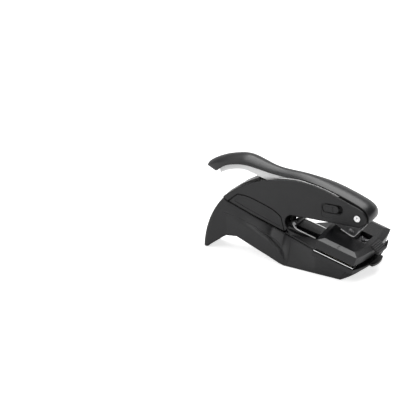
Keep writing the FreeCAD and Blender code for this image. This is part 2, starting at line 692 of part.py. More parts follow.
def tab_seat():
    """Room for the thumb tab in the upper jaw's front bevel, drawn on the paper plane."""
    return plate([(34.0, 8.9), (39.7, 6.96), (39.7, 13.0), (34.0, 13.0)], -7.6, 7.6)


def thumb_tab():
    """Ribbed tab on the front of the upper jaw, used to pull the clip out."""
    drop = 0.33                  # fall of the tab's top per unit of length
    tab = plate([(34.0, 8.9), (34.6, 9.9), (42.5, 7.3), (42.5, 5.5), (38.7, 5.5), (38.7, 7.3)], -7.6, 7.6)
    for i in range(5):
        x = 35.4 + i * 1.6
        tab = tab.fuse(Part.makeCylinder(0.5, 14.4, FreeCAD.Vector(x, -7.2, 9.85 - (x - 34.6) * drop),
                                         FreeCAD.Vector(0, 1, 0)))
    return in_clip(tab.removeSplitter())


def tab_horn():
    """Upturned guard at the left end of the tab."""
    return in_clip(plate([(40.7, 5.7), (42.3, 5.7), (42.3, 10.4), (41.7, 12.6), (41.1, 12.6)], 7.6, 8.4))


def clip_catch():
    """Steel catch seen in the upper jaw's window: a cross bar and a fork on a floor plate."""
    rear, front = window_x
    floor = box((rear + 0.2, front - 0.2), (-7.6, 7.6), (5.6, 6.2))
    bar = box((rear + 1.0, rear + 2.2), (-7.0, 7.0), (6.2, 8.2))
    fork = box((rear + 2.0, rear + 8.6), (-0.6, 0.6), (6.2, 7.8))
    fork.rotate(FreeCAD.Vector(rear + 2.2, 0, 0), FreeCAD.Vector(0, 0, 1), 32)
    return in_clip(floor.fuse([bar, fork, mirrored(fork)]).removeSplitter())


def lower_jaw():
    """Lower jaw with a raised bed for the backing plate, a tail with hinge lugs and a thumb rest."""
    rear, front, lip = -0.9, jaw_depth - 0.1, -2.5
    low = bowed_wire(rear, rear - 0.4, front + 0.2, front + 4.4, jaw_half, jaw_floor)
    high = bowed_wire(rear, rear - 0.4, front, front + 6.0, jaw_half, lip)
    bed = box((rear + 1.0, front - 1.5), (-jaw_half + 1.4, jaw_half - 1.4), (lip, plate_low))
    tail = box((hinge_x - 3.0, 0.0), (-tail_half, tail_half), (tail_floor, tail_top))
    lug = box((hinge_x - 2.2, hinge_x + 2.2), (6.5, 8.1), (tail_top - 0.4, hinge_z))
    lug = lug.fuse(rod(hinge_x, hinge_z, 2.2, 6.5, 8.1))
    rest_plan = bowed_wire(31.0, 30.8, 41.2, 42.9, 9.7, -4.8)
    thumb_rest = Part.Face(rest_plan).extrude(FreeCAD.Vector(0, 0, 2.0))
    jaw = Part.makeLoft([low, high], True, True).fuse([bed, tail, lug, mirrored(lug), thumb_rest])
    return in_clip(jaw.cut(rod(hinge_x, hinge_z, hinge_radius, -20, 20)).removeSplitter())


def lower_plate():
    """Bright backing plate under the lower die, as wide as the clip."""
    return in_clip(box((-0.6, jaw_depth - 0.4), (-jaw_half + 0.1, jaw_half - 0.1), (plate_low, plate_high)))


def die_plate(z_low, z_high):
    die = box((4.5, 4.5 + die_depth), (-die_length / 2 + 0.6, die_length / 2 - 0.6), (z_low, z_high))
    upright = [e for e in die.Edges if e.BoundBox.ZLength > 0.2]
    return in_clip(die.makeFillet(1.0, upright))


def hinge_pin():
    return in_clip(rod(hinge_x, hinge_z, hinge_radius, -8.6, 8.6))


def jaw_spring():
    """Bright leaf on the clip's tail, under the tongue, that lifts the upper jaw."""
    leaf = plate([(-25.3, -3.6), (-2.6, -3.3), (-2.6, -2.8), (-13.0, -2.5), (-25.3, -3.1)], -10.0, 10.0)
    ear = plate([(-24.9, -3.6), (-24.9, -3.1), (-27.7, -2.2), (-29.1, -0.9), (-29.5, -1.3), (-28.1, -2.7)],
                8.8, 10.0)
    foot = box((-22.7, -16.7), (-10.0, 10.0), (tail_top, -3.0))
    return in_clip(leaf.fuse([ear, mirrored(ear), foot]).removeSplitter())


# ---------------------------------------------------------------- assembly
def build():
    os.makedirs("parts", exist_ok=True)
    right_plate = frame_plate()
    right_panel = side_panel()
    shapes = {
        "base_shell": base_shell(),
        "rubber_feet": rubber_feet(),
        "rear_foot_pad": rear_foot_pad(),
        "base_screws": base_screws(),
        "deck_plate": deck_plate(),
        "casing_right": casing_right(),
        "casing_left": casing_left(),
        "casing_screws": casing_screws(),
        "crest_cap": crest_cap(),
        "side_panel_right": right_panel,
        "side_panel_left": mirrored(right_panel),
        "frame_plate_right": right_plate,
        "frame_plate_left": mirrored(right_plate),
        "frame_spacers": frame_spacers(),
        "frame_rivets": frame_rivets(),
        "anvil_plate": anvil_plate(),
        "main_pin": main_pin(),
        "return_spring": return_spring(),
        "lock_slider": lock_slider(),
        "handle_cover": handle_cover(),
        "handle_lever": handle_lever(),
        "cover_screws": cover_screws(),
        "presser_foot": presser_foot(),
        "presser_rivets": presser_rivets(),
        "roller_axle": roller_axle(),
        "press_roller": press_roller(),
        "pressure_leaf": pressure_leaf(),
        "clip_upper_jaw": upper_jaw(),
        "thumb_tab": thumb_tab(),
        "tab_horn": tab_horn(),
        "clip_catch": clip_catch(),
        "upper_die": die_plate(0.2, 2.2),
        "clip_lower_jaw": lower_jaw(),
        "lower_plate": lower_plate(),
        "lower_die": die_plate(plate_high, -0.1),
        "clip_hinge_pin": hinge_pin(),
        "jaw_spring": jaw_spring(),
    }
    for node, shape in shapes.items():
        export(node, shape)
        bounds = shape.BoundBox
        print(f"{node:18s} valid {shape.isValid()} solids {len(shape.Solids)} volume {shape.Volume:9.1f}"
              f"  x {bounds.XMin:6.1f} {bounds.XMax:6.1f}  y {bounds.YMin:6.1f} {bounds.YMax:6.1f}"
              f"  z {bounds.ZMin:5.1f} {bounds.ZMax:5.1f}")


build()
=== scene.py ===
import json
import math

import bmesh
import bpy
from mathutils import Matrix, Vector

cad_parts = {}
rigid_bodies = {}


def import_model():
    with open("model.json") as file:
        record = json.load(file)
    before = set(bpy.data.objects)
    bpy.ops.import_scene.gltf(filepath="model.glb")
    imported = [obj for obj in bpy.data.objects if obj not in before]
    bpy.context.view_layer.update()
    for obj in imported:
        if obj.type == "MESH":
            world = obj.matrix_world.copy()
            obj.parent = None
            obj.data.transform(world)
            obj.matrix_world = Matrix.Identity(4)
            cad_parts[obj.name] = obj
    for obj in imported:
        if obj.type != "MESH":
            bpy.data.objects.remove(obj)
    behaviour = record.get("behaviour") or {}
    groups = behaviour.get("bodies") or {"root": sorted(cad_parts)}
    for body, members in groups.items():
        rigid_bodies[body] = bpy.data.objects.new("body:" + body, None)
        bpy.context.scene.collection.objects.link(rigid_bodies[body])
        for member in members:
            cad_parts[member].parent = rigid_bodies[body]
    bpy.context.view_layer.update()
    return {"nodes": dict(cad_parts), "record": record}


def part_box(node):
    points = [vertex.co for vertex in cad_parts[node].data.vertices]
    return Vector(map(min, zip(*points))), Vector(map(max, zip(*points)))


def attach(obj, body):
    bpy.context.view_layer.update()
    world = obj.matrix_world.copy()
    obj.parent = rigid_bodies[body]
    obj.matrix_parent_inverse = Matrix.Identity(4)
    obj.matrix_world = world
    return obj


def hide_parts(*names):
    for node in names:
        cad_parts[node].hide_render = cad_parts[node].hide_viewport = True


for leftOver in list(bpy.data.objects):        # the empty start scene's cube, lamp and camera
    bpy.data.objects.remove(leftOver)

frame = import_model()
nodes = frame["nodes"]
slotOf = {part["node"]: part["material_slot"] for part in frame["record"]["subparts"]}
mm = 0.001
rearFoot = -2.4                                # rearmost point of the base, mm in the drawing
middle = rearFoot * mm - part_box("base_shell")[0].x
print("frame loaded:", len(nodes), "nodes")


def place(x, y, z):                            # drawing millimetres, from the rear foot, to the frame
    return Vector((x * mm - middle, y * mm, z * mm))


# finishes

noiseLow, noiseHigh = 0.3, 0.7                 # most of a noise lies between these


def newFinish(name):
    material = bpy.data.materials.new(name)
    material.use_nodes = True
    tree = material.node_tree
    shader = tree.nodes["Principled BSDF"]
    return material, tree, shader


def objectNoise(tree, scale, detail, stretch=(1, 1, 1)):
    coords = tree.nodes.new("ShaderNodeTexCoord")
    mapping = tree.nodes.new("ShaderNodeMapping")
    mapping.inputs["Scale"].default_value = stretch
    noise = tree.nodes.new("ShaderNodeTexNoise")
    noise.inputs["Scale"].default_value = scale
    noise.inputs["Detail"].default_value = detail
    tree.links.new(coords.outputs["Object"], mapping.inputs["Vector"])
    tree.links.new(mapping.outputs["Vector"], noise.inputs["Vector"])
    return noise.outputs["Fac"]


def spread(tree, value, low, high):
    remap = tree.nodes.new("ShaderNodeMapRange")
    remap.inputs["From Min"].default_value = noiseLow
    remap.inputs["From Max"].default_value = noiseHigh
    remap.inputs["To Min"].default_value = low
    remap.inputs["To Max"].default_value = high
    tree.links.new(value, remap.inputs["Value"])
    return remap.outputs["Result"]


def twoTone(tree, value, dark, light):
    ramp = tree.nodes.new("ShaderNodeValToRGB")
    ramp.color_ramp.elements[0].position = noiseLow
    ramp.color_ramp.elements[1].position = noiseHigh
    ramp.color_ramp.elements[0].color = (*dark, 1)
    ramp.color_ramp.elements[1].color = (*light, 1)
    tree.links.new(value, ramp.inputs["Fac"])
    return ramp.outputs["Color"]


def softEdge(tree, radius):                    # a fine round on every edge, mm
    edge = tree.nodes.new("ShaderNodeBevel")
    edge.samples = edgeSamples
    edge.inputs["Radius"].default_value = radius * mm
    return edge.outputs["Normal"]


def bumpFrom(tree, value, strength, depth, normal):
    bump = tree.nodes.new("ShaderNodeBump")
    tree.links.new(normal, bump.inputs["Normal"])
    bump.inputs["Strength"].default_value = strength
    bump.inputs["Distance"].default_value = depth
    tree.links.new(value, bump.inputs["Height"])
    return bump.outputs["Normal"]


mouldings = {
    # dark, light, roughness low, high, grain per metre, grain depth mm
    "blackMoulding": ((0.011, 0.011, 0.012), (0.016, 0.016, 0.017), 0.40, 0.50, 5000, 0.006),
    "baseMoulding": ((0.011, 0.011, 0.012), (0.016, 0.016, 0.017), 0.40, 0.50, 5000, 0.006),
    # painted shade: a near-black laid on strips, floors and fillers where gaps, grooves and hollows fall into
    # shade
    "paintedShadeBlack": ((0.002, 0.002, 0.002), (0.004, 0.004, 0.004), 0.6, 0.7, 1500, 0.02),
    "handleMoulding": ((0.016, 0.016, 0.017), (0.022, 0.022, 0.023), 0.27, 0.33, 6000, 0.002),
    "crestMoulding": ((0.003, 0.003, 0.003), (0.006, 0.006, 0.006), 0.22, 0.28, 6000, 0.002),
    "jawPaint": ((0.003, 0.003, 0.004), (0.006, 0.006, 0.007), 0.26, 0.32, 6000, 0.002),
    "rubber": ((0.010, 0.010, 0.010), (0.018, 0.018, 0.018), 0.75, 0.88, 1200, 0.03),
}
metals = {
    # dark, light, roughness low, high, brush stretch, brush depth mm
    "leverSteel": ((0.90, 0.90, 0.90), (0.96, 0.96, 0.96), 0.42, 0.55, (2, 30, 30), 0.004),
    "plateSteel": ((0.48, 0.48, 0.49), (0.62, 0.62, 0.63), 0.30, 0.42, (2, 30, 30), 0.004),
    "brightSteel": ((0.86, 0.86, 0.87), (0.94, 0.94, 0.95), 0.16, 0.26, (2, 40, 40), 0.002),
    "darkSteel": ((0.16, 0.16, 0.164), (0.21, 0.21, 0.215), 0.34, 0.46, (4, 30, 30), 0.004),
    "springSteel": ((0.84, 0.84, 0.84), (0.92, 0.92, 0.92), 0.40, 0.50, (2, 40, 40), 0.002),
    "dieBrass": ((0.66, 0.48, 0.20), (0.78, 0.60, 0.30), 0.24, 0.36, (3, 30, 30), 0.003),
}
satinMetals = ("leverSteel", "springSteel")    # plated to a pale satin, so hardly mirror-like
satinMetallic = 0.2
resin = {"dark": (0.70, 0.67, 0.58), "light": (0.80, 0.77, 0.68), "smooth": 0.35, "rough": 0.5}
mouldingNoise = {"tone": 60, "toneDetail": 3, "grainDetail": 2, "bump": 0.4}
brushNoise = {"scale": 90, "detail": 4, "bump": 0.3}
cloudNoise = {"scale": 120, "detail": 4}
edgeRound = 0.35                               # mm, the soft edge that every moulded piece has
baseRound = 2.5                                # mm, the base has fuller edges
metalRound = edgeRound / 3
edgeSamples = 6


def mouldedFinish(name):
    dark, light, smooth, rough, grain, depth = mouldings[name]
    material, tree, shader = newFinish(name)
    tone = objectNoise(tree, mouldingNoise["tone"], mouldingNoise["toneDetail"])
    fine = objectNoise(tree, grain, mouldingNoise["grainDetail"])
    tree.links.new(twoTone(tree, tone, dark, light), shader.inputs["Base Color"])
    tree.links.new(spread(tree, fine, smooth, rough), shader.inputs["Roughness"])
    edge = softEdge(tree, baseRound if name == "baseMoulding" else edgeRound)
    bumped = bumpFrom(tree, fine, mouldingNoise["bump"], depth * mm, edge)
    tree.links.new(bumped, shader.inputs["Normal"])
    return material


def metalFinish(name):
    dark, light, smooth, rough, stretch, depth = metals[name]
    material, tree, shader = newFinish(name)
    brush = objectNoise(tree, brushNoise["scale"], brushNoise["detail"], stretch)
    tree.links.new(twoTone(tree, brush, dark, light), shader.inputs["Base Color"])
    tree.links.new(spread(tree, brush, smooth, rough), shader.inputs["Roughness"])
    bumped = bumpFrom(tree, brush, brushNoise["bump"], depth * mm, softEdge(tree, metalRound))
    tree.links.new(bumped, shader.inputs["Normal"])
    shader.inputs["Metallic"].default_value = satinMetallic if name in satinMetals else 1.0
    return material


def resinFinish():
    material, tree, shader = newFinish("dieResin")
    cloud = objectNoise(tree, cloudNoise["scale"], cloudNoise["detail"])
    tree.links.new(twoTone(tree, cloud, resin["dark"], resin["light"]), shader.inputs["Base Color"])
    tree.links.new(spread(tree, cloud, resin["smooth"], resin["rough"]), shader.inputs["Roughness"])
    return material


finishes = {name: mouldedFinish(name) for name in mouldings}
finishes.update({name: metalFinish(name) for name in metals})
finishes["dieResin"] = resinFinish()
finishOfSlot = {
    "black_body": "blackMoulding", "cover_black": "handleMoulding", "crest_black": "crestMoulding",
    "jaw_black": "jawPaint", "lever_steel": "leverSteel", "steel": "plateSteel",
    "bright_steel": "brightSteel", "dark_steel": "darkSteel", "rubber": "rubber",
    "die_brass": "dieBrass", "die_resin": "dieResin",
}


def dress(piece, finish):
    piece.data.materials.clear()
    piece.data.materials.append(finishes[finish])


for node, part in nodes.items():
    dress(part, "baseMoulding" if node == "base_shell" else finishOfSlot[slotOf[node]])
print("finishes on the frame's nodes")


# these have shallow bevels, so their faces are made flat and their edges fine again

edgeWidths = {"clip_lower_jaw": 0.25, "deck_plate": 0.15, "thumb_tab": 0.1, "presser_foot": 0.12}    # mm
shallowest = 7                                 # degrees, the shallowest bevel that shows as an edge
flattest = 1                                   # degrees, under this two faces are one
seamGap = 1e-6                                 # metres, points closer than this are one


def crispEdges(part, width):
    part.data.shade_smooth()
    weld = part.modifiers.new("joinSeams", "WELD")
    weld.merge_threshold = seamGap
    flat = part.modifiers.new("flatFaces", "DECIMATE")
    flat.decimate_type = "DISSOLVE"
    flat.angle_limit = math.radians(flattest)
    bevel = part.modifiers.new("fineEdge", "BEVEL")
    bevel.width = width * mm
    bevel.segments = 2
    bevel.limit_method = "ANGLE"
    bevel.angle_limit = math.radians(shallowest)
    part.modifiers.new("evenNormals", "WEIGHTED_NORMAL")


for node, width in edgeWidths.items():
    crispEdges(nodes[node], width)
print("edges made fine")


# pieces of the embosser that are built here in full

curveSteps = 4                                 # lengths that a curve has between two given points


def smoothCurve(points, steps):                # points on a smooth line through the given ones
    line = []
    for i in range(len(points) - 1):
        before = points[max(i - 1, 0)]
        a, b = points[i], points[i + 1]
        after = points[min(i + 2, len(points) - 1)]
        for step in range(steps):
            t = step / steps
            line.append([0.5 * (2 * q + (r - p) * t + (2 * p - 5 * q + 4 * r - s) * t ** 2
                                + (3 * q - p - 3 * r + s) * t ** 3)
                         for p, q, r, s in zip(before, a, b, after)])
    line.append(list(points[-1]))
    return line


def smoothWidths(widths):
    return [width for (width,) in smoothCurve([(width,) for width in widths], curveSteps)]


def offsetAt(line, i, distance):               # square to a side-view line at its point i
    (ax, az), (bx, bz) = line[max(i - 1, 0)], line[min(i + 1, len(line) - 1)]
    along = math.hypot(bx - ax, bz - az)
    return -(bz - az) / along * distance, (bx - ax) / along * distance


def turnsOf(steps):                            # the angles of one full turn
    return [2 * math.pi * step / steps for step in range(steps)]


# a skin over rows of points; caps close its first or both ends
def newPiece(name, rows, closedRows=True, caps="both"):
    mesh = bpy.data.meshes.new(name)
    bm = bmesh.new()
    grid = [[bm.verts.new(place(*point)) for point in row] for row in rows]
    wide = len(rows[0])
    for lower, upper in zip(grid, grid[1:]):
        for i in range(wide if closedRows else wide - 1):
            j = (i + 1) % wide
            bm.faces.new((lower[i], lower[j], upper[j], upper[i]))
    if caps:
        bm.faces.new(grid[0][::-1])
    if caps == "both":
        bm.faces.new(grid[-1])
    bmesh.ops.recalc_face_normals(bm, faces=bm.faces)
    bm.to_mesh(mesh)
    bm.free()
    piece = bpy.data.objects.new(name, mesh)
    bpy.context.scene.collection.objects.link(piece)
    return piece


def finishPiece(piece, finish, body, replaced=()):
    dress(piece, finish)
    piece.data.shade_smooth()
    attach(piece, body)
    if replaced:
        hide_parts(*replaced)


def softenEdges(piece, width, angle=30, segments=3):
    bevel = piece.modifiers.new("softEdge", "BEVEL")
    bevel.width = width * mm
    bevel.segments = segments
    bevel.limit_method = "ANGLE"
    bevel.angle_limit = math.radians(angle)
    piece.modifiers.new("evenNormals", "WEIGHTED_NORMAL")


handleCover = {                                # mm
    # from the tip forward: crown x, z; edge x, z; half width; height of the crown above its crease
    "stations": [
        (-2.2, 66.4, 6.0, 62.2, 5.6, 1.4), (-0.6, 68.2, 6.9, 62.9, 6.3, 1.9),
        (3.6, 71.0, 9.0, 64.4, 7.2, 2.6), (9.0, 73.7, 11.5, 66.8, 8.1, 3.0),
        (16.0, 76.3, 17.0, 70.0, 8.7, 3.3), (26.0, 78.5, 26.0, 72.2, 9.0, 3.4),
        (34.0, 78.4, 34.0, 72.3, 8.6, 3.2), (43.0, 75.9, 43.0, 70.6, 7.7, 2.9),
        (52.0, 73.1, 52.0, 68.7, 6.9, 2.8), (62.0, 71.6, 62.0, 67.5, 6.5, 2.8),
        (78.0, 70.7, 78.0, 67.2, 6.6, 2.5), (92.0, 68.3, 92.0, 65.5, 7.5, 1.9),
        (104.0, 65.3, 103.9, 63.1, 8.1, 1.6), (118.0, 60.8, 117.6, 58.5, 8.4, 1.7),
        (127.5, 57.1, 126.7, 54.9, 8.5, 1.7), (132.4, 54.6, 131.4, 52.5, 8.5, 1.7),
        (135.6, 51.8, 134.2, 50.1, 8.5, 1.6), (137.2, 48.6, 135.4, 47.3, 8.5, 1.5),
        (137.2, 45.6, 135.4, 44.9, 8.4, 1.1), (136.4, 43.1, 134.9, 42.7, 8.3, 0.7),
        (135.4, 41.7, 134.2, 41.4, 8.2, 0.4),
    ],
    "across": 12, "skin": 1.3, "edge": 0.35,
}


def coverRow(station):                         # one rib of the cover: side, crowned top, side
    topX, topZ, edgeX, edgeZ, half, crown = station
    creaseShare = 1 - crown / math.hypot(topX - edgeX, topZ - edgeZ)
    row = [(edgeX, -half, edgeZ)]
    for i in range(handleCover["across"] + 1):
        across = 2 * i / handleCover["across"] - 1
        share = creaseShare + (1 - creaseShare) * (1 - across * across)
        row.append((edgeX + (topX - edgeX) * share, half * across, edgeZ + (topZ - edgeZ) * share))
    return row + [(edgeX, half, edgeZ)]


def makeHandleCover():                         # a thin domed skin from the tip to the hood's round end
    rows = [coverRow(station) for station in smoothCurve(handleCover["stations"], curveSteps)]
    cover = newPiece("handleCover", rows, False, "first")
    skin = cover.modifiers.new("skin", "SOLIDIFY")
    skin.thickness = handleCover["skin"] * mm
    skin.offset = -1
    softenEdges(cover, handleCover["edge"], angle=40)
    finishPiece(cover, "handleMoulding", "handle", ["handle_cover"])


coverShadeStrip = {                                # mm, a near-black strip set back under the cover's edge, painted shade of the gap between cover and casing
    # upper line x, z; lower line x, z; outer half width
    "stations": [
        (96.0, 65.6, 96.0, 65.2, 6.6), (104.0, 63.9, 103.8, 62.5, 7.1), (118.0, 59.3, 117.2, 56.0, 7.6),
        (127.2, 55.7, 125.4, 51.6, 7.8), (131.8, 53.2, 129.6, 48.6, 7.8), (134.4, 50.7, 131.6, 46.6, 7.8),
        (135.6, 47.9, 132.8, 45.0, 7.8), (135.7, 45.3, 133.4, 43.7, 7.7), (135.0, 42.9, 133.9, 42.3, 7.6),
    ],
    "thick": 0.9, "edge": 0.12,
}


# near-black strips on both sides: painted shade under the cover's edge
def makeCoverShadeStrips():
    for side, name in ((-1, "Right"), (1, "Left")):
        rows = []
        for topX, topZ, lowX, lowZ, half in smoothCurve(coverShadeStrip["stations"], curveSteps):
            outer, inner = side * half, side * (half - coverShadeStrip["thick"])
            rows.append([(topX, outer, topZ), (lowX, outer, lowZ),
                         (lowX, inner, lowZ), (topX, inner, topZ)])
        shadeStrip = newPiece("coverShadeStrip" + name, rows)
        softenEdges(shadeStrip, coverShadeStrip["edge"], angle=40, segments=2)
        finishPiece(shadeStrip, "paintedShadeBlack", "handle")


clipPlace = {"x": 101.3, "z": 23.9, "tilt": 16.5}    # rear edge of the clip on the paper plane, mm, degrees


def clipPoint(x, y, z):                        # a point of the clip's own frame, in drawing millimetres
    turn = math.radians(clipPlace["tilt"])
    return (clipPlace["x"] + x * math.cos(turn) + z * math.sin(turn), y,
            clipPlace["z"] - x * math.sin(turn) + z * math.cos(turn))


def inClip(rows):
    return [[clipPoint(*point) for point in row] for row in rows]


def stripRows(line, inner, outer, thick):      # cross-sections of a flat strip; line holds side-view points
    rows = []
    for (x, z), near, far in zip(line, inner, outer):
        rows.append([(x, near, z), (x, far, z), (x, far, z + thick), (x, near, z + thick)])
    return rows


springArms = {                                 # mm, in the clip's own frame, side -1 is the right
    "line": [(-29.2, -1.0), (-28.6, -2.0), (-27.2, -2.9), (-25.4, -3.45), (-22.0, -3.6), (-8.4, -3.6)],
    "inner": [8.2, 8.3, 8.6, 9.2, 9.7, 9.9], "outer": [9.8, 10.0, 10.3, 10.5, 10.7, 10.75],
    "thick": 0.55, "edge": 0.12,
}


def makeSpringArms():                          # two bright arms that lie on the tail beside the tongue
    arms = springArms
    line = smoothCurve(arms["line"], curveSteps)
    inner, outer = smoothWidths(arms["inner"]), smoothWidths(arms["outer"])
    for side, name in ((-1, "Right"), (1, "Left")):
        rows = stripRows(line, [side * w for w in inner], [side * w for w in outer], arms["thick"])
        arm = newPiece("springArm" + name, inClip(rows))
        softenEdges(arm, arms["edge"])
        finishPiece(arm, "springSteel", "clip", ["jaw_spring"])


leverLips = {                                  # mm, side view and outer edge of the lever's turned-out rim
    "line": [(54.0, 64.7), (62.0, 65.7), (70.0, 66.5), (78.0, 66.5), (92.0, 64.7), (104.0, 61.6),
             (110.5, 59.1)],
    "outer": [6.0, 6.9, 7.1, 7.2, 7.9, 8.2, 8.3], "inner": 4.9, "thick": 0.6, "edge": 0.3,
}


def makeLeverLips():
    lips = leverLips
    line = smoothCurve(lips["line"], curveSteps)
    outer = smoothWidths(lips["outer"])
    for side, name in ((-1, "Right"), (1, "Left")):
        inner = [side * lips["inner"]] * len(line)
        rows = stripRows(line, inner, [side * w for w in outer], lips["thick"])
        lip = newPiece("leverLip" + name, rows)
        softenEdges(lip, lips["edge"])
        finishPiece(lip, "leverSteel", "handle")


pressureLeaf = {                               # mm, side-view line under the presser foot
    "line": [(111.8, 33.0), (115.0, 31.4), (118.2, 29.75), (120.6, 28.8), (122.3, 28.45), (123.5, 28.75),
             (124.6, 29.95), (126.3, 32.1), (128.0, 34.3)],
    "half": 7.6, "thick": 0.4, "edge": 0.15,
}


def makePressureLeaf():                        # one bright strip bent round the foot
    leaf = pressureLeaf
    line = smoothCurve(leaf["line"], curveSteps)
    rows = []
    for i, (x, z) in enumerate(line):
        offX, offZ = offsetAt(line, i, leaf["thick"])
        rows.append([(x, -leaf["half"], z), (x, leaf["half"], z),
                     (x + offX, leaf["half"], z + offZ), (x + offX, -leaf["half"], z + offZ)])
    strip = newPiece("pressureLeaf", rows)
    softenEdges(strip, leaf["edge"])
    finishPiece(strip, "springSteel", "handle", ["pressure_leaf"])


def turnedRows(profile, centre, steps):        # rings round an axis along Y; profile holds y, radius
    return [[(centre[0] + radius * math.cos(turn), y, centre[1] + radius * math.sin(turn))
             for turn in turnsOf(steps)] for y, radius in profile]


rollerAxle = {                                 # mm
    "centre": (120.4, 32.5), "radius": 1.5, "head": 2.6, "cheek": 6.6, "dome": 1.1, "steps": 40,
}


def makeRollerAxle():                          # a shaft with a domed head outside each cheek
    a = rollerAxle
    dome = [(a["cheek"] + a["dome"] * math.sin(math.radians(angle)),
             a["head"] * math.cos(math.radians(angle))) for angle in range(0, 90, 10)]
    right = [(-y, radius) for y, radius in reversed(dome)] + [(-a["cheek"], a["head"])]
    shaft = [(-a["cheek"], a["radius"]), (a["cheek"], a["radius"])]
    profile = right + shaft + [(a["cheek"], a["head"])] + dome
    axle = newPiece("rollerAxle", turnedRows(profile, a["centre"], a["steps"]))
    finishPiece(axle, "darkSteel", "handle", ["roller_axle"])
    axle.data.set_sharp_from_angle(angle=math.radians(35))


upperJaw = {                                   # mm, in the clip's own frame
    "half": 32.0, "rear": -0.2, "rearBow": 3.0, "front": 34.0, "frontBow": 3.9,
    "under": 1.0, "shoulder": 8.5, "top": 10.0,
    "topHalf": 27.1, "topRear": 3.7, "topRearBow": 3.0, "topFront": 29.8, "topFrontBow": 3.6,
    "footTaper": 0.6, "edge": 0.3,
    # rear, front, half width, height of floor or ceiling; the cuts run on to above and below
    "window": (20.0, 29.5, 8.0, 5.6), "recess": (3.5, 30.5, 25.5, 2.2), "above": 20, "below": 0,
    "markX": (16.4, 17.5), "markY": (27.9, 31.0), "markCut": (-0.35, 1.0),
    "tongue": [(-28.65, -2.7), (-6.0, -2.0), (-4.0, 1.2), (0.0, 1.2), (0.0, 6.0), (-4.4, 2.6), (-7.6, -1.0),
               (-26.6, -1.7), (-27.0, 0.4), (-28.65, 1.0)],
    "tongueHalf": 6.2, "tongueEdge": 0.2,
    "hinge": (-28.65, -1.0), "knuckle": 2.2, "knuckleSteps": 32,
    "bore": 1.3, "boreHalf": 9.0, "boreSteps": 40,
}


def bowedOutline(rear, rearBow, front, frontBow, half, z, steps=20):
    ring = []
    for i in range(steps + 1):
        y = half * (2 * i / steps - 1)
        ring.append((front + frontBow * (1 - (y / half) ** 2), y, z))
    for i in range(steps + 1):
        y = half * (1 - 2 * i / steps)
        ring.append((rear - rearBow * (1 - (y / half) ** 2), y, z))
    return ring


def boxRows(xs, ys, zs):
    return [[(xs[0], ys[0], z), (xs[1], ys[0], z), (xs[1], ys[1], z), (xs[0], ys[1], z)] for z in zs]


def cutAway(piece, name, rows):                # takes the solid over the rows out of the piece
    other = newPiece(name, rows)
    change = piece.modifiers.new("change", "BOOLEAN")
    change.operation = "DIFFERENCE"
    change.solver = "EXACT"
    change.object = other
    bpy.context.view_layer.update()
    solved = piece.evaluated_get(bpy.context.evaluated_depsgraph_get())
    result = bpy.data.meshes.new_from_object(solved)
    piece.modifiers.clear()
    piece.data = result
    bpy.data.objects.remove(other)


def makeUpperJaw():                            # deep bevelled jaw, its window, and the tongue behind it
    j = upperJaw
    foot = j["front"] - j["footTaper"]
    levels = [
        bowedOutline(j["rear"], j["rearBow"], foot, j["frontBow"], j["half"], j["under"]),
        bowedOutline(j["rear"], j["rearBow"], j["front"], j["frontBow"], j["half"], j["shoulder"]),
        bowedOutline(j["topRear"], j["topRearBow"], j["topFront"], j["topFrontBow"], j["topHalf"], j["top"]),
    ]
    jaw = newPiece("upperJaw", inClip(levels))
    rear, front, half, floor = j["window"]
    cutAway(jaw, "cutWindow", inClip(boxRows((rear, front), (-half, half), (floor, j["above"]))))
    rear, front, half, ceiling = j["recess"]
    cutAway(jaw, "cutRecess", inClip(boxRows((rear, front), (-half, half), (j["below"], ceiling))))
    slope = (j["top"] - j["shoulder"]) / (j["half"] - j["topHalf"])
    for side in (-1, 1):                       # the centring mark on each side bevel
        ends = [(side * y, j["shoulder"] + (j["half"] - y) * slope) for y in j["markY"]]
        cut = [[(x, y, z + lift) for y, z in ends for lift in j["markCut"]] for x in j["markX"]]
        cutAway(jaw, "cutMark", inClip([[row[0], row[2], row[3], row[1]] for row in cut]))
    softenEdges(jaw, j["edge"], angle=10, segments=2)
    finishPiece(jaw, "jawPaint", "upper_jaw", ["clip_upper_jaw"])
    hinge = clipPoint(j["hinge"][0], 0, j["hinge"][1])
    pivot, half = (hinge[0], hinge[2]), j["tongueHalf"]
    tongueRows = inClip([[(x, y, z) for x, z in j["tongue"]] for y in (-half, half)])
    knuckleRows = turnedRows([(-half, j["knuckle"]), (half, j["knuckle"])], pivot, j["knuckleSteps"])
    bore = [(-j["boreHalf"], j["bore"]), (j["boreHalf"], j["bore"])]
    boreRows = turnedRows(bore, pivot, j["boreSteps"])
    for name, rows in (("jawTongue", tongueRows), ("jawKnuckle", knuckleRows)):
        piece = newPiece(name, rows)
        cutAway(piece, "cutBore", boreRows)
        softenEdges(piece, j["tongueEdge"], segments=2)
        finishPiece(piece, "jawPaint", "upper_jaw")


windowCatch = {                                # mm, in the clip's own frame
    "floorX": (20.2, 29.3), "floorY": 7.6, "floorZ": (5.6, 6.1),
    "wires": [((21.6, -6.4), (28.2, 5.6)), ((28.2, -5.6), (21.6, 6.4))], "wireRadius": 0.5, "wireZ": 6.6,
    # x, y, radius, top; then the crown of the stud: below the top, share of the radius
    "stud": (24.9, 0.0, 1.7, 8.1), "crown": [(0.5, 1.0), (0.15, 0.85), (0.0, 0.55)],
    "edge": 0.1, "steps": 20,
}


